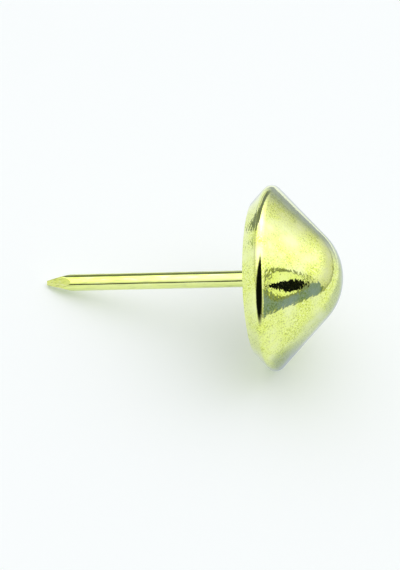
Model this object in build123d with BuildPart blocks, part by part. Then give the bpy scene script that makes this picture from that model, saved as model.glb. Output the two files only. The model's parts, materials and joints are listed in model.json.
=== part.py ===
from build123d import *
import os
from math import acos, asin, atan2, cos, degrees, radians, sin

# Furniture nail with a conical pressed head, lying on a table as it comes to rest when dropped:
# on the edge of its head and the end of its point. The pin's upset head is trapped between the
# sheet cap and a dished retainer, and the cap's rim is folded in over the retainer's edge.

# Driving dimensions in millimetres and degrees.
head_diameter = 11.0  # over the folded edge, the widest circle of the head
head_height = 5.17  # from the flat seat of the rim to the end of the nose
nose_radius = 3.55  # outside of the rounded nose
fold_height = 1.08  # from the seat to the widest circle
rim_diameter = 9.15  # outer edge of the seat, where the folded rim ends
cap_sheet = 0.28
fold_bend = 0.16  # inside radius of the fold
retainer_sheet = 0.40
retainer_bend = 0.25  # inside radius between the retainer's flank and its flat top
nest_gap = 0.02  # between the cap and the pieces that lie in it
pin_head_diameter = 2.6
pin_head_edge = 0.35  # thickness of the upset head at its edge
neck_diameter = 1.5  # flared neck where it leaves the upset head
neck_length = 1.4
neck_clearance = 0.03  # around the neck in the retainer's hole
wire_diameter = 1.0
reach = 12.6  # from the seat to the end of the point
point_angle = 14.0  # each facet of the point against the pin's axis
point_flat = 0.26  # across the blunt end of the point
point_turn = 45.0  # how far the facets are turned round the pin from straight up

# The head's section, in millimetres along the nail's axis from the seat and out from that axis.
# The flank is the line that touches the round nose and the round fold.
fold_radius = fold_bend + cap_sheet
nose_centre = Vector(head_height - nose_radius, 0)
fold_centre = Vector(fold_height, head_diameter / 2 - fold_radius)
nose_from_fold = nose_centre - fold_centre
flank_lean = acos((fold_radius - nose_radius) / nose_from_fold.length)
flank_lean += atan2(nose_from_fold.Y, nose_from_fold.X)
flank_normal = Vector(cos(flank_lean), sin(flank_lean))
flank_level = nose_centre.dot(flank_normal) + nose_radius

# The rim is the line from the seat's outer edge that touches the fold from behind.
rim_edge = Vector(0, rim_diameter / 2)
fold_from_rim = fold_centre - rim_edge
rim_slope = atan2(fold_from_rim.Y, fold_from_rim.X) + asin(fold_radius / fold_from_rim.length)
rim_normal = Vector(-sin(rim_slope), cos(rim_slope))
rim_lean = rim_slope + radians(90)
rim_level = rim_edge.dot(rim_normal)


def on_fold(depth, normal):
    """Where the wall that lies this deep under the cap's outside leaves the fold."""
    return fold_centre + normal * (fold_radius - depth)


def on_flank(depth, along):
    """Point of the flank that lies this deep under the cap's outside, at this place on the axis."""
    return Vector(along, (flank_level - depth - along * flank_normal.X) / flank_normal.Y)


def flank_to_rim(flank_depth, rim_depth):
    """Corner between a flank and a rim that lie this deep under the cap's outside."""
    flank_reach = flank_level - flank_depth
    rim_reach = rim_level - rim_depth
    cross = flank_normal.X * rim_normal.Y - flank_normal.Y * rim_normal.X
    along = flank_reach * rim_normal.Y - rim_reach * flank_normal.Y
    out = rim_reach * flank_normal.X - flank_reach * rim_normal.X
    return Vector(along / cross, out / cross)


def fold_arc(depth):
    """Round of the fold, this deep under the cap's outside, from the rim to the flank."""
    CenterArc(fold_centre, fold_radius - depth, degrees(rim_lean), degrees(flank_lean - rim_lean))


def cap_wall(depth):
    """Line this deep under the cap's outside, from the seat over the fold to the nose."""
    seat_end = Vector(0, rim_edge.Y - depth / rim_normal.Y)
    Line(seat_end, on_fold(depth, rim_normal))
    fold_arc(depth)
    Line(on_fold(depth, flank_normal), nose_centre + flank_normal * (nose_radius - depth))
    CenterArc(nose_centre, nose_radius - depth, 0, degrees(flank_lean))
    return seat_end


# The upset head of the pin is domed to sit in the nose, and the retainer's flat top is under it.
dome_radius = nose_radius - cap_sheet - nest_gap
dome_lean = asin(pin_head_diameter / 2 / dome_radius)
dome_edge = nose_centre + Vector(cos(dome_lean), sin(dome_lean)) * dome_radius
pin_seat = dome_edge.X - pin_head_edge
hole_radius = neck_diameter / 2 + neck_clearance

# The retainer lies against the inside of the cap, and its edge fills the fold.
retainer_depth = cap_sheet + nest_gap
hollow_depth = retainer_depth + retainer_sheet
under_top = pin_seat - retainer_sheet
edge_corner = flank_to_rim(hollow_depth, retainer_depth)

# The table touches the round of the fold and the lowest corner of the point's square end.
tip_corner = point_flat / 2 * (abs(cos(radians(point_turn))) + abs(sin(radians(point_turn))))
fold_from_tip = Vector(fold_height + reach, fold_centre.Y - tip_corner)
rest_lean = atan2(fold_from_tip.Y, fold_from_tip.X) + asin(fold_radius / fold_from_tip.length)

# The origin is on the table, under the middle of the nail's box.
nose_reach = nose_centre.X * cos(rest_lean) + nose_radius
tip_reach = reach * cos(rest_lean) + tip_corner * sin(rest_lean)
seat_lift = reach * sin(rest_lean) + tip_corner * cos(rest_lean)
seat_centre = Vector((tip_reach - nose_reach) / 2, 0, seat_lift)
axis_dir = Vector(cos(rest_lean), 0, sin(rest_lean))
rise_dir = Vector(-sin(rest_lean), 0, cos(rest_lean))
nail_axis = Axis(seat_centre, axis_dir)
section = Plane(origin=seat_centre, x_dir=axis_dir, z_dir=(0, -1, 0))
facet_dir = rise_dir.rotate(Axis((0, 0, 0), axis_dir), point_turn)
point_end = Plane(origin=seat_centre - axis_dir * reach, x_dir=facet_dir, z_dir=axis_dir)

with BuildPart() as head_cap:
    with BuildSketch(section):
        with BuildLine():
            seat_outer = cap_wall(0)
            seat_inner = cap_wall(cap_sheet)
            Line(seat_outer, seat_inner)
            Line((head_height, 0), (head_height - cap_sheet, 0))
        make_face()
    revolve(axis=nail_axis)
head_cap.part.label = "head_cap"

with BuildPart() as retainer_cup:
    with BuildSketch(section):
        with BuildLine():
            fold_arc(retainer_depth)
            FilletPolyline(
                on_fold(retainer_depth, flank_normal),
                on_flank(retainer_depth, pin_seat),
                (pin_seat, hole_radius),
                radius=retainer_bend + retainer_sheet,
            )
            Line((pin_seat, hole_radius), (under_top, hole_radius))
            FilletPolyline(
                (under_top, hole_radius),
                on_flank(hollow_depth, under_top),
                edge_corner,
                radius=retainer_bend,
            )
            Line(edge_corner, on_fold(retainer_depth, rim_normal))
        make_face()
    revolve(axis=nail_axis)
retainer_cup.part.label = "retainer_cup"

with BuildPart() as pin:
    with BuildSketch(section):
        with BuildLine():
            CenterArc(nose_centre, dome_radius, 0, degrees(dome_lean))
            Polyline(
                dome_edge,
                (pin_seat, pin_head_diameter / 2),
                (pin_seat, neck_diameter / 2),
                (pin_seat - neck_length, wire_diameter / 2),
                (-reach, wire_diameter / 2),
                (-reach, 0),
                (nose_centre.X + dome_radius, 0),
            )
        make_face()
    revolve(axis=nail_axis)
    # The point is where a square pyramid, wider than the pin everywhere else, trims the wire.
    with BuildSketch(point_end):
        Rectangle(point_flat, point_flat)
    extrude(amount=reach + head_height, taper=-point_angle, mode=Mode.INTERSECT)
pin.part.label = "pin"

os.makedirs("parts", exist_ok=True)
export_step(head_cap.part, "parts/head_cap.step")
export_step(retainer_cup.part, "parts/retainer_cup.step")
export_step(pin.part, "parts/pin.step")
print(f"leans {degrees(rest_lean):.2f} degrees on the table, {head_height + reach:.2f} mm long over all")
print(f"flank {90 - degrees(flank_lean):.2f} and rim {degrees(rim_slope):.2f} degrees to the nail's axis")
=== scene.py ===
# %% [markdown]
# # A furniture nail with a conical head
#
# The nail is three metal pieces: a cap pressed from thin sheet into a cone with a round nose, a dished
# retainer that the cap's folded rim grips from behind, and a wire pin whose upset head is trapped between
# the two. All three were tumbled in a plating bath and came out bright brass.
# The CAD model holds their sizes and places. It is loaded first, as a frame that nothing here moves, and
# its box is kept so that the finished looks can be compared with it.

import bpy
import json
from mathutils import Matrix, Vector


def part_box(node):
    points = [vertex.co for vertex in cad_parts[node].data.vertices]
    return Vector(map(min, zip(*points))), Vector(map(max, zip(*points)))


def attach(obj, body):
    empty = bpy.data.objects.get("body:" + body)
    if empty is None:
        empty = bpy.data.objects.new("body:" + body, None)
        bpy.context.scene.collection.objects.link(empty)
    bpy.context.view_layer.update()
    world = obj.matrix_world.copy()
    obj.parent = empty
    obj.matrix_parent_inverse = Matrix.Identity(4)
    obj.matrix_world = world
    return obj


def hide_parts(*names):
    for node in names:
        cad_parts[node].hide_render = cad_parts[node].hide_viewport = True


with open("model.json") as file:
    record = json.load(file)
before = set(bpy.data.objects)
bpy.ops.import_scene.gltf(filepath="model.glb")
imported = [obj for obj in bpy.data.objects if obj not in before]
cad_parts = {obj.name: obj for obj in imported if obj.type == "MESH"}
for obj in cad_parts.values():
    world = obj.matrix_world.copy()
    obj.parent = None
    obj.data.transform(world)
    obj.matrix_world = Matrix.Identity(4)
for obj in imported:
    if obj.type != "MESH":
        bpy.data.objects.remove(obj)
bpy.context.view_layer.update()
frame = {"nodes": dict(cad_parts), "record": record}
print("CAD nodes:", sorted(frame["nodes"]))

# %% [markdown]
# ## Where the nail lies
#
# The nail rests on the edge of its head and the end of its point, so its axis leans. The record's mounts
# already say how: one lies along the pin, the other on the flat rim. From them come the two directions
# that every turned piece needs: along the axis towards the nose, and up from it.

# %% Read the axis from the mounts
import bpy
from math import acos, asin, atan2, cos, degrees, pi, radians, sin, tan
from mathutils import Matrix, Vector

MM = 0.001  # sizes are written in millimetres, and Blender's unit here is the metre
upwards = Vector((0, 0, 1))
mounts = {mount["name"]: mount for mount in frame["record"]["mounts"]}
nail_axis = -Vector(mounts["pin_shank"]["axis"]).normalized()
on_pin = Vector(mounts["pin_shank"]["pos_m"])
on_rim = Vector(mounts["rim_seat"]["pos_m"])
seat_centre = on_pin + nail_axis * (on_rim - on_pin).dot(nail_axis)
axis_lean = asin(nail_axis.z)
rise = (upwards - nail_axis * nail_axis.z).normalized()
print(f"the axis leans {degrees(axis_lean):.2f} degrees, seat centre {seat_centre / MM}")

# %% [markdown]
# ## Turning a profile
#
# Cap, retainer and pin are all turned shapes: half of a section, swept once round the axis. Blender has a
# Screw modifier for that, but here a Geometry Nodes tree does it, because the pin's point follows a rule
# too: four flat facets pinched into the round wire. The tree makes a grid with one row for each point of
# the profile and one column for each step round the axis, then puts every grid point in its place. A point
# that would stand outside the square pyramid of the facets is pulled in to it. For the sheet pieces the
# pyramid is made so wide that it never touches them.
# Materials and the room are built from nodes as well, so one small function serves them all. It adds a node,
# sets its properties, and gives each input a value, or a link if it is handed another node's output. A
# colour ramp's stops are one of its settings too.

# %% The tree and its named inputs
def add_node(tree, kind, inputs=(), stops=(), **settings):
    """Adds one node; inputs maps a socket's name or number to a value or an output of another node."""
    node = tree.nodes.new(kind)
    for key, value in settings.items():
        setattr(node, key, value)
    for key, value in dict(inputs).items():
        if isinstance(value, bpy.types.NodeSocket):
            tree.links.new(value, node.inputs[key])
        else:
            node.inputs[key].default_value = value
    for i, (place, colour) in enumerate(stops):
        marks = node.color_ramp.elements
        mark = marks[i] if i < len(marks) else marks.new(1)
        mark.position = place
        mark.color = colour
    return node


turning = bpy.data.node_groups.new("turn about the nail", "GeometryNodeTree")
sockets = {
    "Profile": "NodeSocketGeometry",
    "Steps": "NodeSocketInt",
    "Seat centre": "NodeSocketVector",
    "Axis": "NodeSocketVector",
    "Rise": "NodeSocketVector",
    "Point end": "NodeSocketFloat",
    "Point half width": "NodeSocketFloat",
    "Point slope": "NodeSocketFloat",
    "Point turn": "NodeSocketFloat",
    "Finish": "NodeSocketMaterial",
}
for name, kind in sockets.items():
    turning.interface.new_socket(name, in_out="INPUT", socket_type=kind)
turning.interface.new_socket("Turned piece", in_out="OUTPUT", socket_type="NodeSocketGeometry")
given = add_node(turning, "NodeGroupInput").outputs
print("inputs of the turning tree:", ", ".join(sockets))

# %% The grid
# Each grid point stands for one point of the profile and one step round the axis, told from its index.
number, whole, vector = "ShaderNodeMath", "FunctionNodeIntegerMath", "ShaderNodeVectorMath"
full_turn = 2 * pi
rows = add_node(turning, "GeometryNodeAttributeDomainSize", {0: given["Profile"]}).outputs["Point Count"]
columns = add_node(turning, whole, {0: given["Steps"], 1: 1}, operation="ADD").outputs[0]
grid = add_node(turning, "GeometryNodeMeshGrid", {"Vertices X": rows, "Vertices Y": columns})
index = add_node(turning, "GeometryNodeInputIndex").outputs[0]
row = add_node(turning, whole, {0: index, 1: columns}, operation="DIVIDE_FLOOR").outputs[0]
column = add_node(turning, whole, {0: index, 1: columns}, operation="MODULO").outputs[0]
position = add_node(turning, "GeometryNodeInputPosition").outputs[0]
on_profile = add_node(
    turning,
    "GeometryNodeSampleIndex",
    {"Geometry": given["Profile"], "Value": position, "Index": row},
    data_type="FLOAT_VECTOR",
)
along, out, _ = add_node(turning, "ShaderNodeSeparateXYZ", {0: on_profile.outputs[0]}).outputs
step = add_node(turning, number, {0: full_turn, 1: given["Steps"]}, operation="DIVIDE").outputs[0]
turn = add_node(turning, number, {0: column, 1: step}, operation="MULTIPLY").outputs[0]
print("the grid takes", len(turning.nodes), "nodes")

# %% The facets
# A facet is flat, so it is further out the more a point is turned from the middle of it.
half_facet = pi / 4  # four facets: the corners of each are an eighth of a turn from its middle
from_first = add_node(turning, number, {0: turn, 1: given["Point turn"]}, operation="SUBTRACT").outputs[0]
from_facet = add_node(turning, number, {0: from_first, 1: half_facet}, operation="PINGPONG").outputs[0]
facing = add_node(turning, number, {0: from_facet}, operation="COSINE").outputs[0]
from_end = add_node(turning, number, {0: along, 1: given["Point end"]}, operation="SUBTRACT").outputs[0]
slope, half_end = given["Point slope"], given["Point half width"]
half = add_node(turning, number, {0: from_end, 1: slope, 2: half_end}, operation="MULTIPLY_ADD").outputs[0]
facet = add_node(turning, number, {0: half, 1: facing}, operation="DIVIDE").outputs[0]
trimmed = add_node(turning, number, {0: out, 1: facet}, operation="MINIMUM").outputs[0]
print("with the facets it has", len(turning.nodes), "nodes")

# %% The place in space
# A point goes along the axis from the seat, then straight out from the axis.
seam_gap = 0.0005 * MM  # points closer than this, at the seam and on the axis, become one
outward = add_node(
    turning,
    "ShaderNodeVectorRotate",
    {"Vector": given["Rise"], "Axis": given["Axis"], "Angle": turn},
    rotation_type="AXIS_ANGLE",
).outputs[0]
seat, axis = given["Seat centre"], given["Axis"]
on_axis = add_node(turning, vector, {0: axis, 1: along, 2: seat}, operation="MULTIPLY_ADD").outputs[0]
spot = add_node(turning, vector, {0: outward, 1: trimmed, 2: on_axis}, operation="MULTIPLY_ADD").outputs[0]
placed = add_node(turning, "GeometryNodeSetPosition", {"Geometry": grid.outputs["Mesh"], "Position": spot})
closed = add_node(
    turning,
    "GeometryNodeMergeByDistance",
    {"Geometry": placed.outputs[0], "Distance": seam_gap},
)
smooth = add_node(turning, "GeometryNodeSetShadeSmooth", {"Geometry": closed.outputs[0]})
real = add_node(turning, "GeometryNodeRealizeInstances", {"Geometry": smooth.outputs[0]})
finished = add_node(
    turning,
    "GeometryNodeSetMaterial",
    {"Geometry": real.outputs[0], "Material": given["Finish"]},
)
add_node(turning, "NodeGroupOutput", {0: finished.outputs[0]})
print("the whole turning tree has", len(turning.nodes), "nodes")

# %% [markdown]
# ## Brass plate
#
# The nail is steel with a thin bright brass layer under clear lacquer. A plated layer is a mirror with a
# tint: all of its colour comes from what it reflects, so it is a metal with a clear colour and low
# roughness. The lacquer is a coat over it, which pales where the surface turns away from the eye. What
# tells plate from chrome paint is the fine grain of the pressed sheet under it. The layer follows the grain
# like orange peel, which frays the edge of every reflection. It is thicker on the grain's tops and thinner
# in its pits, so that pale and olive specks lie close together. The pin's wire was drawn through a die, so
# there the grain is pulled out into lines along the pin.
# A picture of brass could be wrapped round the pieces, but it would show a seam. Noise fills the space that
# they stand in, so it has none.

# %% Colours from hex values
def linear(hex_colour):
    """Linear colour with alpha from an sRGB hex value."""
    channels = [int(hex_colour[i : i + 2], 16) / 255 for i in (1, 3, 5)]
    return (*(c / 12.92 if c <= 0.04045 else ((c + 0.055) / 1.055) ** 2.4 for c in channels), 1)


print("middle grey, #808080, is", round(linear("#808080")[0], 3), "in linear light")

# %% A plated finish
COLOUR_A, COLOUR_B, MIXED = 6, 7, 2  # a Mix node's sockets for two colours, and its output for their mix
cloud_grains = 14  # thicker and thinner stretches of the layer are this many grains across
peel_grains = 1.7  # and the swells of its orange peel this many
thick_limits = (0.40, 0.70)  # values of the noise between which the layer goes from thin to thick
tops_limits = (0.52, 0.68)  # between which the grain rises from its flat to its tops
pits_limits = (0.50, 0.32)  # between which it falls from its flat to its pits
gloss_limits = (0.30, 0.70)  # and between which it goes from its smoothest to its roughest
lacquer_roughness = 0.03


def brass_plate(name, clean, pale, pitted, roughness, grain_mm, relief_mm, stretch=1):
    """Bright brass layer over steel; grain is the size of its orange peel and relief the height of it."""
    material = bpy.data.materials.new(name)
    material.use_nodes = True
    tree = material.node_tree
    tree.nodes.clear()
    place = add_node(tree, "ShaderNodeTexCoord").outputs["Object"]
    # The pattern's X runs along the nail, so that it can be stretched that way.
    along = add_node(
        tree,
        "ShaderNodeMapping",
        {"Vector": place, "Rotation": (0, -axis_lean, 0), "Scale": (stretch, 1, 1)},
        vector_type="TEXTURE",
    ).outputs[0]
    grain = add_node(
        tree,
        "ShaderNodeTexNoise",
        {"Vector": along, "Scale": 1 / (grain_mm * MM), "Detail": 2.0, "Roughness": 0.55},
    ).outputs[0]
    clouds = add_node(
        tree,
        "ShaderNodeTexNoise",
        {"Vector": along, "Scale": 1 / (cloud_grains * grain_mm * MM), "Detail": 3.0},
    ).outputs[0]
    thick, tops, pits = (
        add_node(tree, "ShaderNodeMapRange", {"Value": noise, "From Min": low, "From Max": high}).outputs[0]
        for noise, (low, high) in ((clouds, thick_limits), (grain, tops_limits), (grain, pits_limits))
    )
    smoothest, roughest = gloss_limits
    gloss = add_node(
        tree,
        "ShaderNodeMapRange",
        {
            "Value": grain,
            "From Min": smoothest,
            "From Max": roughest,
            "To Min": roughness[0],
            "To Max": roughness[1],
        },
    ).outputs[0]
    covered = add_node(tree, "ShaderNodeMath", {0: tops, 1: thick}, operation="MAXIMUM").outputs[0]
    layer = add_node(
        tree,
        "ShaderNodeMix",
        {"Factor": pits, COLOUR_A: linear(clean), COLOUR_B: linear(pitted)},
        data_type="RGBA",
    ).outputs[MIXED]
    colour = add_node(
        tree,
        "ShaderNodeMix",
        {"Factor": covered, COLOUR_A: layer, COLOUR_B: linear(pale)},
        data_type="RGBA",
    ).outputs[MIXED]
    swell = add_node(
        tree,
        "ShaderNodeTexNoise",
        {"Vector": along, "Scale": 1 / (peel_grains * grain_mm * MM), "Detail": 0.5},
    ).outputs[0]
    peel = add_node(tree, "ShaderNodeBump", {"Height": swell, "Distance": relief_mm * MM}).outputs[0]
    shader = add_node(
        tree,
        "ShaderNodeBsdfPrincipled",
        {
            "Base Color": colour,
            "Metallic": 1.0,
            "Roughness": gloss,
            "Normal": peel,
            "Coat Weight": 1.0,
            "Coat Roughness": lacquer_roughness,
        },
    )
    add_node(tree, "ShaderNodeOutputMaterial", {"Surface": shader.outputs[0]})
    return material


# %% The three plated finishes
bright = {"clean": "#E7F46C", "pale": "#EFF8B0", "pitted": "#AAB850", "roughness": (0.02, 0.05)}
# Orange peel on pressed sheet is about 0.05 mm across; it is drawn at 0.1 mm so that it shows.
sheet_plate = brass_plate("brass plate on pressed sheet", **bright, grain_mm=0.10, relief_mm=0.004)
# Inside the head less current reached the metal, so the layer is thinner, duller and browner.
hollow_plate = brass_plate(
    "thin brass plate in the hollow",
    clean="#C9CC78",
    pale="#B5B070",
    pitted="#8F8F5C",
    roughness=(0.18, 0.32),
    grain_mm=0.13,
    relief_mm=0.012,
)
# Lines from the die are finer too; they are drawn at 0.1 mm across and ten times as long, a faint streak.
wire_plate = brass_plate("brass plate on drawn wire", **bright, grain_mm=0.10, relief_mm=0.003, stretch=10)
print("finishes:", sheet_plate.name, hollow_plate.name, wire_plate.name, sep="\n  ")

# %% [markdown]
# ## Profiles from lines and rounds
#
# A profile is a chain of straight runs and rounds. Each point is a pair: how far along the axis from the
# flat seat, and how far out from the axis, both in millimetres. Straight runs get points in between as
# well, so that the smooth shading of a round can't leak along a straight flank.

# %% Runs of a profile
def run(start, end, spacing):
    """Points of a straight run, ends included, about the spacing apart."""
    steps = max(1, round((end - start).length / spacing))
    return [start.lerp(end, i / steps) for i in range(steps + 1)]


def unit(angle):
    """Direction in the section at this angle from the axis."""
    return Vector((cos(angle), sin(angle)))


def round_off(centre, radius, start, end, steps):
    """Points of a round from one direction to another, ends included."""
    return [centre + unit(start + (end - start) * i / steps) * radius for i in range(steps + 1)]


quarter = round_off(Vector((0, 0)), 1, 0, pi / 2, 3)
print("a quarter round in 3 steps:", [tuple(round(c, 2) for c in p) for p in quarter])

# %% [markdown]
# ## The cap
#
# The cap is one sheet: a nose that is part of a ball, a straight flank, a tight fold at the widest edge,
# and a rim that is turned in behind it and ends on the flat seat. The flank is the line that touches both
# rounds, and the rim the line from the seat that touches the fold from behind, so a few sizes give the
# whole section. The inside is the same line again, one sheet deeper. A Solidify modifier could give the
# sheet its thickness, but it would move the rim's end off the flat seat.

# %% Section of the cap
head_diameter = 11.0
head_height = 5.17
nose_radius = 3.55
fold_height = 1.08  # of the fold's centre over the seat
rim_diameter = 9.15  # where the rim ends on the seat
cap_sheet = 0.28
fold_radius = 0.44
sheared_round = 0.07  # the tumbled corner where the sheet was sheared off at the seat
nose_steps, fold_steps, corner_steps = 28, 24, 6
flank_spacing, seat_spacing = 0.1, 0.08

nose_centre = Vector((head_height - nose_radius, 0))
fold_centre = Vector((fold_height, head_diameter / 2 - fold_radius))
to_nose = nose_centre - fold_centre
# A straight line is kept as two numbers: the angle of the way square to it, and how far out that way it
# lies from the middle of the seat.
flank_lean = acos((fold_radius - nose_radius) / to_nose.length) + atan2(to_nose.y, to_nose.x)
flank_level = nose_centre.dot(unit(flank_lean)) + nose_radius
rim_edge = Vector((0, rim_diameter / 2))
to_fold = fold_centre - rim_edge
rim_lean = atan2(to_fold.y, to_fold.x) + asin(fold_radius / to_fold.length) + pi / 2
rim_level = rim_edge.dot(unit(rim_lean))


def cap_wall(depth):
    """Line of the cap this deep under its outside, from the nose to where the fold meets the rim."""
    nose = round_off(nose_centre, nose_radius - depth, 0, flank_lean, nose_steps)
    fold = round_off(fold_centre, fold_radius - depth, flank_lean, rim_lean, fold_steps)
    return nose + run(nose[-1], fold[0], flank_spacing)[1:-1] + fold


def on_rim_line(depth, along):
    """Point of the rim this deep under the cap's outside, at this place on the axis."""
    return Vector((along, (rim_level - depth - along * cos(rim_lean)) / sin(rim_lean)))


corner_centre = on_rim_line(sheared_round, sheared_round)
corner = round_off(corner_centre, sheared_round, rim_lean, pi, corner_steps)
seat_inner = on_rim_line(cap_sheet, 0)
cap_outside, cap_inside = cap_wall(0), cap_wall(cap_sheet)[::-1]
cap_section = [
    *cap_outside,
    *run(cap_outside[-1], corner[0], flank_spacing)[1:-1],
    *corner,
    *run(corner[-1], seat_inner, seat_spacing)[1:],
    *run(seat_inner, cap_inside[0], flank_spacing)[1:-1],
    *cap_inside,
]
flank_angle, rim_angle = 90 - degrees(flank_lean), degrees(rim_lean) - 90
print(f"cap: {len(cap_section)} points, flank {flank_angle:.1f} and rim {rim_angle:.1f} degrees to the axis")

# %% Turn the section into a piece
sharp_edge = radians(35)  # faces that meet at more than this keep a crisp edge
# For a sheet piece the facets' pyramid is two metres wide, so that it never touches it.
no_point = {"Point end": 0.0, "Point half width": 1.0, "Point slope": 0.0, "Point turn": 0.0}
cap_turn_steps = 192


def turned_piece(name, profile, steps, finish, point):
    """Object of a profile turned once round the axis; point gives the inputs of the facets."""
    points = [(p.x * MM, p.y * MM, 0) for p in profile]
    mesh = bpy.data.meshes.new(name)
    mesh.from_pydata(points, [], [])
    piece = bpy.data.objects.new(name, mesh)
    bpy.context.scene.collection.objects.link(piece)
    modifier = piece.modifiers.new("turn", "NODES")
    modifier.node_group = turning
    values = {
        "Steps": steps,
        "Seat centre": seat_centre,
        "Axis": nail_axis,
        "Rise": rise,
        "Finish": finish,
        **point,
    }
    for item in turning.interface.items_tree:
        if item.in_out == "INPUT" and item.name in values:
            modifier[item.identifier] = values[item.name]
    ready = piece.evaluated_get(bpy.context.evaluated_depsgraph_get())
    piece.data = bpy.data.meshes.new_from_object(ready)
    piece.modifiers.clear()
    bpy.data.meshes.remove(mesh)
    piece.data.name = name
    piece.data.set_sharp_from_angle(angle=sharp_edge)
    return piece


head_cap = turned_piece("cap", cap_section, cap_turn_steps, sheet_plate, no_point)
print("cap:", len(head_cap.data.vertices), "vertices")

# %% Compare the piece with the CAD
def say_size(piece, node):
    """Prints a piece's faces and volume, and how far its box is from the CAD node's."""
    mesh = piece.data
    mesh.calc_loop_triangles()
    volume = 0
    for triangle in mesh.loop_triangles:
        a, b, c = (mesh.vertices[i].co for i in triangle.vertices)
        volume += a.dot(b.cross(c)) / 6
    corners = [v.co for v in mesh.vertices]
    low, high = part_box(node)
    gap = max(
        max(abs(min(c[i] for c in corners) - low[i]), abs(max(c[i] for c in corners) - high[i]))
        for i in range(3)
    )
    print(f"{piece.name}: {len(mesh.loop_triangles)} triangles, {volume / MM**3:.2f} mm3,"
          f" box within {gap / MM:.3f} mm of {node}")


say_size(head_cap, "head_cap")

# %% [markdown]
# ## The retainer
#
# The retainer is a dished washer of thicker sheet. It lies against the inside of the flank, its edge fills
# the fold, and its flat top, holed for the pin, carries the pin's head. It only shows from behind, in the
# mouth of the hollow head. It is turned like the cap, and its section starts from the cap's own lines, so
# that the two nest whatever the head's size.

# %% Section of the retainer
nest_gap = 0.02  # between the inside of the cap and what nests in it
retainer_sheet = 0.4
retainer_bend = 0.25  # inside radius of its shoulder
pin_head_diameter = 2.6
pin_head_edge = 0.35  # height of the pin head's edge under its dome
neck_diameter = 1.5
neck_clearance = 0.03
grip_steps, shoulder_steps, hollow_steps = 12, 12, 10
retainer_spacing = 0.12
retainer_turn_steps = 160

dome_radius = nose_radius - cap_sheet - nest_gap
dome_lean = asin(pin_head_diameter / 2 / dome_radius)
pin_seat = nose_centre.x + dome_radius * cos(dome_lean) - pin_head_edge
retainer_depth = cap_sheet + nest_gap
hollow_depth = retainer_depth + retainer_sheet
hole_radius = neck_diameter / 2 + neck_clearance


def on_flank(depth, along):
    """Point of the flank this deep under the cap's outside, at this place on the axis."""
    return Vector((along, (flank_level - depth - along * cos(flank_lean)) / sin(flank_lean)))


def flank_to_rim(flank_depth, rim_depth):
    """Corner between a flank and a rim that lie this deep under the cap's outside."""
    flank, rim = unit(flank_lean), unit(rim_lean)
    flank_reach, rim_reach = flank_level - flank_depth, rim_level - rim_depth
    cross = flank.x * rim.y - flank.y * rim.x
    along = (flank_reach * rim.y - rim_reach * flank.y) / cross
    return Vector((along, (rim_reach * flank.x - flank_reach * rim.x) / cross))


bend_radius = retainer_bend + retainer_sheet
bend_centre = on_flank(retainer_depth + bend_radius, pin_seat - bend_radius)
grip = round_off(fold_centre, fold_radius - retainer_depth, rim_lean, flank_lean, grip_steps)
shoulder = round_off(bend_centre, bend_radius, flank_lean, 0, shoulder_steps)
hole_top = Vector((pin_seat, hole_radius))
hole_foot = Vector((pin_seat - retainer_sheet, hole_radius))
hollow_bend = round_off(bend_centre, retainer_bend, 0, flank_lean, hollow_steps)
edge_corner = flank_to_rim(hollow_depth, retainer_depth)
stretches = [grip, shoulder, [hole_top], [hole_foot], hollow_bend, [edge_corner], grip[:1]]
retainer_section = list(grip)
for before, after in zip(stretches, stretches[1:]):
    retainer_section += run(before[-1], after[0], retainer_spacing)[1:] + after[1:]
retainer = turned_piece("retainer", retainer_section[::-1], retainer_turn_steps, hollow_plate, no_point)
say_size(retainer, "retainer_cup")

# %% [markdown]
# ## The pin
#
# The pin is drawn wire. Its head was upset into a dome that fits the inside of the nose, with a short
# conical neck under it. The point was pinched between four dies, which left four flat facets and a small
# blunt square end, with one corner on the table. The facets could be cut with a Boolean, but the turning
# tree already knows the pyramid, and its rows only have to be close together there.

# %% Section of the pin
reach = 12.6  # from the seat to the end of the point
neck_length = 1.4
point_angle = radians(14)  # between a facet and the axis
point_flat = 0.26  # width of the square end
point_turn = radians(45)  # puts a corner of the square end straight under the axis
dome_steps = 14
wire_spacing, point_spacing, end_spacing = 0.1, 0.02, 0.05
point_margin = 0.05  # the close rows start this far before the facets
wire_turn_steps = 128
wire_radius = mounts["pin_shank"]["dims"]["r_mm"]
point_length = (wire_radius - point_flat / 2) / tan(point_angle)

dome = round_off(nose_centre, dome_radius, 0, dome_lean, dome_steps)
# Place on the axis, distance from it, and the spacing of the points that lead there.
stations = [
    (pin_seat, pin_head_diameter / 2, wire_spacing),
    (pin_seat, neck_diameter / 2, wire_spacing),
    (pin_seat - neck_length, wire_radius, wire_spacing),
    (point_length + point_margin - reach, wire_radius, wire_spacing),
    (-reach, wire_radius, point_spacing),
    (-reach, 0, end_spacing),
]
pin_section = list(dome)
for along, out, spacing in stations:
    pin_section += run(pin_section[-1], Vector((along, out)), spacing)[1:]
pinched_point = {
    "Point end": -reach * MM,
    "Point half width": point_flat / 2 * MM,
    "Point slope": tan(point_angle),
    "Point turn": point_turn,
}
pin = turned_piece("pin_wire", pin_section, wire_turn_steps, wire_plate, pinched_point)
say_size(pin, "pin")

# %% [markdown]
# ## Hand the pieces to the frame
#
# Each piece rides on the frame's only body, and the CAD node that it matches is hidden.

# %% Ride, and hide the CAD node
for piece, node, slot in (
    (head_cap, "head_cap", "plated_cap"),
    (retainer, "retainer_cup", "plated_retainer"),
    (pin, "pin", "plated_wire"),
):
    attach(piece, "root")
    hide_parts(node)
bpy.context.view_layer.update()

# %% [markdown]
# ## The camera
#
# The camera looks down on the table from the side, with a long lens, and is rolled so that the pin lies
# nearly level in the picture. Three things fix it: how far the nose is turned towards the viewer, how far
# the nail leans in the picture, and where the middle of the seat falls on it.

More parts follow.
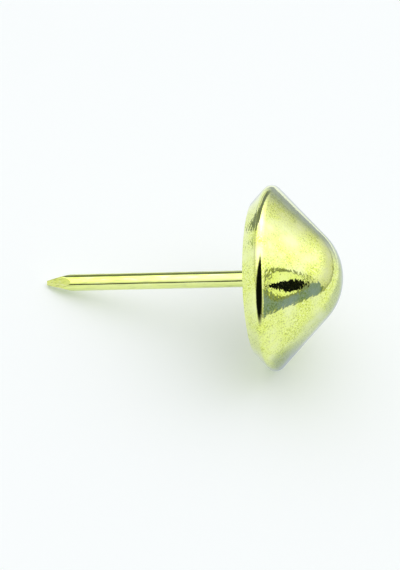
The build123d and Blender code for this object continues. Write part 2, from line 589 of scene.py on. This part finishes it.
# %% Place the camera
picture_width, picture_height = 400, 570  # pixels
seat_pixel = (256.0, 278.42)  # where the middle of the seat falls, from the picture's upper left
pixels_per_mm = 16.917
view_elevation = radians(42)
nose_turn = radians(10.715)  # of the nose towards the viewer
picture_lean = radians(1.3)  # of the nail in the picture, up towards the nose
camera_distance = 0.4  # metres
sight_limit = 20  # metres, well past the floor's edge

sideways = (sin(nose_turn) - nail_axis.z * sin(view_elevation)) / (nail_axis.x * cos(view_elevation))
azimuth = asin(sideways)
back = Vector((sin(azimuth) * cos(view_elevation), -cos(azimuth) * cos(view_elevation), sin(view_elevation)))
level = Vector((cos(azimuth), sin(azimuth), 0))
upright = back.cross(level)
roll = atan2(nail_axis.dot(upright), nail_axis.dot(level)) - picture_lean
right = level * cos(roll) + upright * sin(roll)
up = upright * cos(roll) - level * sin(roll)
pixel = MM / pixels_per_mm
aim = seat_centre - right * (seat_pixel[0] - picture_width / 2) * pixel
aim -= up * (picture_height / 2 - seat_pixel[1]) * pixel

lens = bpy.data.cameras.new("camera")
lens.lens = lens.sensor_width * camera_distance / (picture_height * pixel)
lens.clip_end = sight_limit
camera = bpy.data.objects.new("camera", lens)
bpy.context.scene.collection.objects.link(camera)
turned = Matrix((right, up, back)).transposed().to_4x4()
camera.matrix_world = Matrix.Translation(aim + back * camera_distance) @ turned
bpy.context.scene.camera = camera
bpy.context.scene.view_settings.view_transform = "Standard"
print(f"lens {lens.lens:.0f} mm, azimuth {degrees(azimuth):.2f}, roll {degrees(roll):.2f} degrees")

# %% [markdown]
# ## The floor
#
# The floor is a plain pale board on a light table: it glows a little from below, so that it stays pale under
# the nail and the shadow on it is soft and faint. The glow is slightly green and the board slightly violet.
# Together they are a neutral tone just short of white. In the shadow, where more of the glow is left, the
# green shows: painted light, standing in for the light that the brass throws on the floor beside it. A sheet
# that only glows would be simpler, but takes no shadow.

# %% A pale floor
def set_piece(name, corners, faces, finish):
    """Object with these corners and faces, which is part of the set and not of the nail."""
    mesh = bpy.data.meshes.new(name)
    mesh.from_pydata([tuple(c) for c in corners], [], faces)
    mesh.materials.append(finish)
    sheet = bpy.data.objects.new(name, mesh)
    bpy.context.scene.collection.objects.link(sheet)
    return sheet


# Matt board is rough and has hardly any gloss, so it shows shade and no mirror image.
board = bpy.data.materials.new("matt white board")
board.use_nodes = True
board_shader = board.node_tree.nodes["Principled BSDF"].inputs
# The glow's green tint is painted light from the brass, and shows in the shadow; the violet board evens it
# out in the open.
for socket, value in {
    "Base Color": linear("#D4D1DA"),
    "Roughness": 0.9,
    "Specular IOR Level": 0.1,
    "Emission Color": linear("#ECFEEA"),
    "Emission Strength": 0.34,
}.items():
    board_shader[socket].default_value = value
floor_reach = 4.0  # metres to each side
corner_signs = [(-1, -1), (1, -1), (1, 1), (-1, 1)]
floor_corners = [(x * floor_reach, y * floor_reach, 0) for x, y in corner_signs]
set_piece("floor", floor_corners, [(0, 1, 2, 3)], board)
print("floor:", 2 * floor_reach, "m square, of", board.name)

# %% [markdown]
# ## The room
#
# Metal shows its room, so the room is most of the look. Lamps would only draw their own outlines in the
# metal, so the room is drawn in the world. Its walls are dim at the foot and brighten towards a broad soft
# light overhead. Oval patches do the rest. A bright one stands high at the back. Dim corners behind the nail
# darken the far edge of the cone, the turned-in rim and the top line of the pin. In front of the nose is a
# bluish wedge with an olive end, and low in front of the nail the edge of a table, a dark line. Below the
# horizon the world goes on in the floor's own pale tone.
# The camera and the metal see this room. The floor's shadow would be patchy in it, so all other rays meet
# one broad soft light behind the nail instead.

# %% Walls and patches
def direction(azimuth, elevation):
    """Unit vector; azimuth runs from +X towards +Y, elevation up from the floor, both in degrees."""
    a, e = radians(azimuth), radians(elevation)
    return Vector((cos(a) * cos(e), sin(a) * cos(e), sin(e)))


# Every other light that the metal sees in the room is given as a share of the overhead light.
overhead_light = 2.0
horizon = 0.0
floor_tone = (0.478, 0.494, 0.495, 1)
corner_light = (0.10, 0.11, 0.13, 1)
wedge_light = (0.125, 0.160, 0.26, 1)
# Elevation in degrees, and the light from there.
walls = [
    (0, 0.25),
    (3, 0.27),
    (5, 0.37),
    (16, 0.40),
    (20, 0.43),
    (24, 0.48),
    (28, 0.52),
    (35, 0.62),
    (45, 0.82),
    (52, 0.91),
    (60, 0.96),
]
# Two ends of each oval, the sum of angles where it is full and where it has faded, and its light.
patches = {
    "back corner": (direction(77, 1), direction(143, 40), 73, 75, corner_light),
    "top of that corner": (direction(118, 28), direction(140, 36), 34, 37, corner_light),
    "bright opening": (direction(100, 62), direction(100, 70), 20, 48, (1.3, 1.3, 1.3, 1)),
    "corner behind the rim": (direction(140, 4), direction(150, 26), 34, 38, (0.12, 0.13, 0.12, 1)),
    "olive end": (direction(-14, 8), direction(-4, 6), 11.5, 14, (0.10, 0.12, 0.08, 1)),
    "upright of the wedge": (direction(-17.5, 2), direction(-14, 20), 21.5, 23.5, wedge_light),
    "length of the wedge": (direction(-42, 6), direction(-16, 8), 27.5, 29, wedge_light),
    "table edge": (direction(-125, 5), direction(-85, 5), 41.8, 43.9, (0.03, 0.035, 0.03, 1)),
}
print("room:", len(walls), "heights on the walls, and patches:", ", ".join(patches))

# %% The room as a world
def oval_patch(tree, ray, ends, full, faded):
    """Cover of an oval patch: whole where the angles to its two ends add up to full, none from faded on."""
    angles = []
    for end in ends:
        near = add_node(tree, "ShaderNodeVectorMath", {0: ray, 1: end}, operation="DOT_PRODUCT")
        angle = add_node(tree, "ShaderNodeMath", {0: near.outputs["Value"]}, operation="ARCCOSINE")
        angles.append(angle.outputs[0])
    total = add_node(tree, "ShaderNodeMath", enumerate(angles), operation="ADD").outputs[0]
    limits = {"Value": total, "From Min": radians(faded), "From Max": radians(full)}
    return add_node(tree, "ShaderNodeMapRange", limits, interpolation_type="SMOOTHSTEP").outputs[0]


world = bpy.data.worlds.new("room")
bpy.context.scene.world = world
world.use_nodes = True
room = world.node_tree
room.nodes.clear()
ray = add_node(room, "ShaderNodeTexCoord").outputs["Generated"]
height = add_node(room, "ShaderNodeSeparateXYZ", {0: ray}).outputs["Z"]
light = add_node(
    room,
    "ShaderNodeValToRGB",
    {0: height},
    [(sin(radians(elevation)), (share, share, share, 1)) for elevation, share in walls],
).outputs["Color"]
for *ends, full, faded, patch_light in patches.values():
    cover = oval_patch(room, ray, ends, full, faded)
    light = add_node(
        room,
        "ShaderNodeMix",
        {"Factor": cover, COLOUR_A: light, COLOUR_B: patch_light},
        data_type="RGBA",
    ).outputs[MIXED]
above = add_node(room, "ShaderNodeMath", {0: height, 1: horizon}, operation="GREATER_THAN").outputs[0]
light = add_node(
    room,
    "ShaderNodeMix",
    {"Factor": above, COLOUR_A: floor_tone, COLOUR_B: light},
    data_type="RGBA",
).outputs[MIXED]
seen_room = add_node(room, "ShaderNodeBackground", {"Color": light, "Strength": overhead_light})
print("the room takes", len(room.nodes), "nodes")

# %% A light of its own for the floor
back_light = 1.57
back_light_way = direction(110, 66)
towards = add_node(room, "ShaderNodeVectorMath", {0: ray, 1: back_light_way}, operation="DOT_PRODUCT")
spread = add_node(
    room,
    "ShaderNodeMapRange",
    {"Value": towards.outputs["Value"]},
    interpolation_type="SMOOTHSTEP",
)
floor_light = add_node(room, "ShaderNodeBackground", {"Color": spread.outputs[0], "Strength": back_light})
kind_of_ray = add_node(room, "ShaderNodeLightPath").outputs
seen = kind_of_ray["Is Camera Ray"]
for kind in ("Is Glossy Ray", "Is Transmission Ray"):
    seen = add_node(room, "ShaderNodeMath", {0: seen, 1: kind_of_ray[kind]}, operation="MAXIMUM").outputs[0]
both = add_node(
    room,
    "ShaderNodeMixShader",
    {0: seen, 1: floor_light.outputs[0], 2: seen_room.outputs[0]},
)
add_node(room, "ShaderNodeOutputWorld", {"Surface": both.outputs[0]})
print("with the floor's light the world has", len(room.nodes), "nodes")

# %% [markdown]
# ## Cards
#
# Whoever photographs bright metal stands small cards close to it, to give it something to mirror. A soft
# black one beside the fold draws the black line down the head's near edge. In front of the nose hang three
# ovals, one behind the other, which draw an eye on the cone: a black pupil, a bright middle and an olive
# edge. Shades lie on the floor where the head touches it, before the nose, behind the rim and at the far
# left, and two more cards stand upright, one behind the rim and a broad one at the back.
# Each card is a fan of triangles round its middle. A number on its points, 1 in the middle and 0 at the edge,
# lets the edge fade, which a plain card can't. Only the metal shows them: the camera and the floor don't see
# them.

# %% Cards that only the metal sees
oval_sides = 64


def oval_card(name, middle, tall, wide, light, soft, taper=0):
    """Glowing oval with these half axes in millimetres, narrower towards its tall end by the taper.

    Its edge fades over the soft share of the way to the middle.
    """
    finish = bpy.data.materials.new(name)
    finish.use_nodes = True
    tree = finish.node_tree
    tree.nodes.clear()
    inner = add_node(tree, "ShaderNodeAttribute", attribute_name="inner").outputs["Fac"]
    cover = add_node(
        tree,
        "ShaderNodeMapRange",
        {"Value": inner, "From Max": soft},
        interpolation_type="SMOOTHSTEP",
    )
    clear = add_node(tree, "ShaderNodeBsdfTransparent")
    shine = add_node(tree, "ShaderNodeEmission", {"Color": light})
    faded = add_node(
        tree,
        "ShaderNodeMixShader",
        {0: cover.outputs[0], 1: clear.outputs[0], 2: shine.outputs[0]},
    )
    add_node(tree, "ShaderNodeOutputMaterial", {"Surface": faded.outputs[0]})
    turns = [full_turn * i / oval_sides for i in range(oval_sides)]
    edge = [middle + (tall * cos(a) + wide * sin(a) * (1 - taper * cos(a))) * MM for a in turns]
    faces = [(oval_sides, i, (i + 1) % oval_sides) for i in range(oval_sides)]
    card = set_piece(name, edge + [middle], faces, finish)
    card.data.attributes.new("inner", "FLOAT", "POINT").data[oval_sides].value = 1
    card.visible_camera = False
    card.visible_diffuse = False
    card.visible_shadow = False
    card.visible_transmission = False
    card.visible_volume_scatter = False


print("a card has", oval_sides, "triangles")

# %% The fold's black card
def square_to(way, lean):
    """Upright and level directions square to a way, both turned about it by the lean."""
    level = way.cross(upwards).normalized()
    upright = level.cross(way)
    return upright * cos(lean) + level * sin(lean), level * cos(lean) - upright * sin(lean)


black = (0.004, 0.005, 0.006, 1)
fold_way = direction(-95, 23)
fold_distance = 2.0
fold_card_lean = radians(-10.7)
fold_shift_tall, fold_shift_wide = 0.1, -0.5
fold_half_tall, fold_half_wide = 6.2, 2.6
fold_soft = 0.45
near_side = (back - nail_axis * back.dot(nail_axis)).normalized()
near_fold = seat_centre + (nail_axis * fold_height + near_side * head_diameter / 2) * MM
tall, wide = square_to(fold_way, fold_card_lean)
fold_middle = near_fold + (fold_way * fold_distance + tall * fold_shift_tall + wide * fold_shift_wide) * MM
oval_card("fold_card", fold_middle, tall * fold_half_tall, wide * fold_half_wide, black, fold_soft)
print(f"fold card: {fold_distance} mm off the fold, {2 * fold_half_tall} by {2 * fold_half_wide} mm")

# %% The eye's three ovals
eye_olive = (0.28, 0.30, 0.20, 1)
eye_bright = (0.98, 1.03, 0.68, 1)
eye_way = direction(-13.8, 20.8)
eye_distance = 14
mirror_along, mirror_out = 2.4, 3.5  # the place on the cone that the eye is set out from
eye_gap = 0.2  # from one oval to the next
left_lean, rise_lean, iris_lean = radians(38), radians(-31), radians(63)
pupil_left, pupil_rise = -0.1, -0.08
iris_left, iris_rise = -0.05, 0.5
# The first two ways on a card are left and up in the picture, once the cone has mirrored them.
leftwards, _ = square_to(eye_way, left_lean)
risewards, _ = square_to(eye_way, rise_lean)
narrow, tall = square_to(eye_way, iris_lean)
eye = seat_centre + (nail_axis * mirror_along + near_side * mirror_out + eye_way * eye_distance) * MM
pupil = eye + (leftwards * pupil_left + risewards * pupil_rise) * MM
iris = eye + (leftwards * iris_left + risewards * iris_rise) * MM
step_back = eye_way * eye_gap * MM
# Middle, half axes in millimetres, light, soft share of the edge, and taper.
eye_ovals = {
    "eye_pupil": (pupil, leftwards * 1.35, risewards * 1.45, black, 0.02, 0.7),
    "eye_middle": (iris + step_back, narrow * 1.31, tall * 3.4, eye_bright, 0.08, 0.25),
    "eye_edge": (iris + 2 * step_back, narrow * 1.62, tall * 4.6, eye_olive, 0.14, 0.25),
}
for name, oval in eye_ovals.items():
    oval_card(name, *oval)
print("eye:", ", ".join(eye_ovals))

# %% Shades round the nail
east, north = Vector((1, 0, 0)), Vector((0, 1, 0))
far_way, rim_way = direction(67, 0), direction(27.6, 0)
_, across_far = square_to(far_way, 0)
_, across_rim = square_to(rim_way, 0)
rim_light = (0.24, 0.27, 0.25, 1)
# Middle and half axes in millimetres, light, and soft share of the edge.
shades = {
    "contact_shade": ((7.6, -2.6, 0.2), east * 4.0, north * 4.4, (0.44, 0.49, 0.58, 1), 0.9),
    "nose_shade": ((14, 10, 0.1), east * 20, north * 16, (0.62, 0.67, 0.75, 1), 0.5),
    "rim_shade": ((-17.9, 20.2, 0.2), rim_way * 8, across_rim * 5.7, rim_light, 0.15),
    "rim_card": ((-21.5, 18, 5.0), rim_way * 5, upwards * 4.8, rim_light, 0.15),
    "left_shade": ((-23.5, 10, 0.1), east * 4, north * 4.5, (0.45, 0.52, 0.40, 1), 0.4),
    "back_card": ((14, 33, 2), upwards * 20, across_far * 26, (0.40, 0.43, 0.60, 1), 0.8),
}
for name, (middle, *look) in shades.items():
    oval_card(name, Vector(middle) * MM, *look)
print("shades:", ", ".join(shades))

# %% [markdown]
# ## The end

# %% The end
import json
